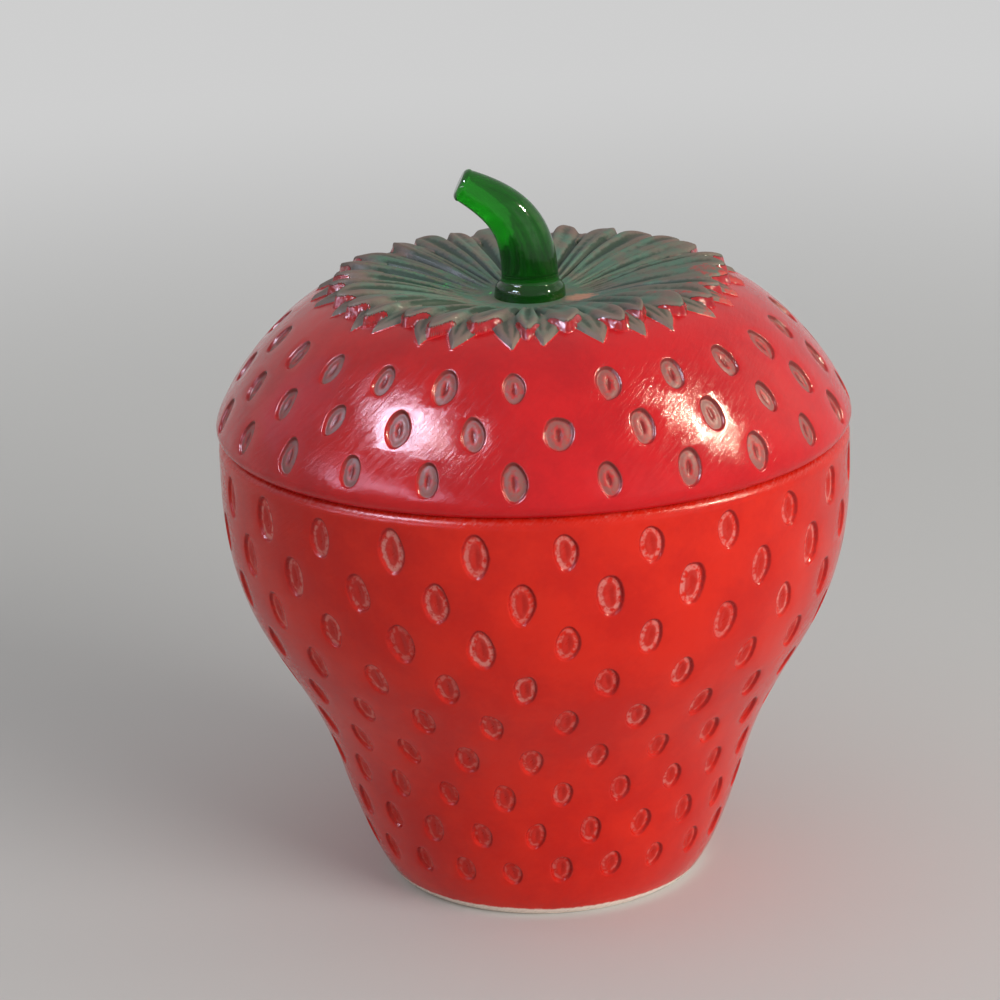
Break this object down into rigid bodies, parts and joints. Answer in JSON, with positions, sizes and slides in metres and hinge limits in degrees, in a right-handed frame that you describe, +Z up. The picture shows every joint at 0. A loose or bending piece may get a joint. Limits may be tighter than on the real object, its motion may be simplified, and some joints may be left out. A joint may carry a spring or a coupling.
{
  "type": "lidded jam pot",
  "caption": "Fruit-shaped jam pot of pressed glass with a foot ring, a domed lid with a leafy crown in relief, and a bent glass stem as its handle.",
  "frame": {"origin": "middle of the flat ring that the pot stands on", "axes": "+Z up along the turning axis of the pot and lid; -X is the side that the stem leans to"},
  "size_m": [0.1105, 0.1104, 0.1267],
  "materials": {
    "pot_enamel": "glossy orange-red fired enamel over opaque white pressed glass",
    "lid_enamel": "glossy red fired enamel over opaque white pressed glass",
    "leaf_paint": "half-matt grey-green paint, darker in the grooves, over red enamel and opaque white pressed glass",
    "green_glass": "clear deep green glass, fire polished"
  },
  "bodies": {
    "pot": {"pot": "pot_enamel"},
    "lid": {"lid": "lid_enamel", "leaves": "leaf_paint", "stem": "green_glass"}
  },
  "joints": [
    {"name": "lid_lift", "type": "slide", "parent": "pot", "child": "lid", "axis": [0, 0, 1], "range_m": [0, 0.06]}
  ]
}
